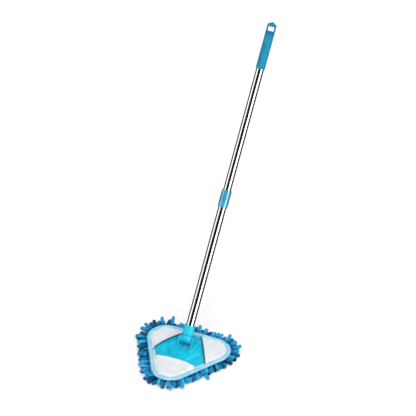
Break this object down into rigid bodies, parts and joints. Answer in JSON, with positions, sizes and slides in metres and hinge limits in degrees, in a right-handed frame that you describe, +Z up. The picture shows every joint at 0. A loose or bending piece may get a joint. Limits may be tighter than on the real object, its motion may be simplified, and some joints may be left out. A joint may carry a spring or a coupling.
{
  "type": "flat mop",
  "caption": "Three-cornered chenille floor mop: telescopic steel pole, twist-lock collar, hanging grip, swivel yoke and a pocketed cloth cover.",
  "frame": {"origin": "middle of the sole, on the floor", "axes": "+Z up; +X along the pivot pin, to the mop's right; +Y the way the pole leans back"},
  "size_m": [0.287, 0.7164, 0.7229],
  "materials": {
    "chenille": "soft chenille fingers, blue",
    "cover_cloth": "matt white cloth",
    "binding_cloth": "satin tape, light blue",
    "head_plastic": "moulded, semi-gloss, cyan",
    "collar_plastic": "moulded, glossy, blue",
    "grip_plastic": "moulded, satin, blue",
    "inner_plastic": "moulded, natural",
    "tube_steel": "polished stainless tube",
    "hardware_steel": "zinc-plated"
  },
  "bodies": {
    "upper_pole": {"upper_tube": "tube_steel", "guide_bush": "inner_plastic", "grip_sleeve": "grip_plastic", "hanger_loop": "grip_plastic"},
    "collet": {"split_collet": "inner_plastic"},
    "lower_pole": {"lower_tube": "tube_steel", "thread_ferrule": "inner_plastic", "pole_socket": "head_plastic", "socket_screw": "hardware_steel"},
    "collar": {"lock_collar": "collar_plastic"},
    "knuckle": {"swivel_knuckle": "head_plastic", "swivel_washer": "hardware_steel", "swivel_screw": "hardware_steel"},
    "mop_head": {"base_plate": "head_plastic", "pivot_pin": "hardware_steel", "pin_cap_left": "head_plastic", "pin_cap_right": "head_plastic", "base_cloth": "cover_cloth", "edge_binding": "binding_cloth", "pocket_flap_front": "cover_cloth", "pocket_flap_right": "cover_cloth", "pocket_flap_left": "cover_cloth", "chenille_sole": "chenille", "chenille_fringe": "chenille"}
  },
  "joints": [
    {"name": "pole_slide", "type": "slide", "parent": "upper_pole", "child": "collet", "axis": [0, 0.6225, 0.7826], "range_m": [0, 0.295]},
    {"name": "pole_turn", "type": "hinge", "parent": "collet", "child": "lower_pole", "pos_m": [0, 0.022, 0.044], "axis": [0, 0.6225, 0.7826], "continuous": true},
    {"name": "collar_twist", "type": "hinge", "parent": "lower_pole", "child": "collar", "pos_m": [0, 0.022, 0.044], "axis": [0, 0.6225, 0.7826], "range_deg": [0, 90]},
    {"name": "head_swivel", "type": "hinge", "parent": "lower_pole", "child": "knuckle", "pos_m": [0, 0.022, 0.044], "axis": [0, 0.6225, 0.7826], "continuous": true},
    {"name": "head_tilt", "type": "hinge", "parent": "knuckle", "child": "mop_head", "pos_m": [0, 0.022, 0.044], "axis": [1, 0, 0], "range_deg": [-123, 46]}
  ]
}
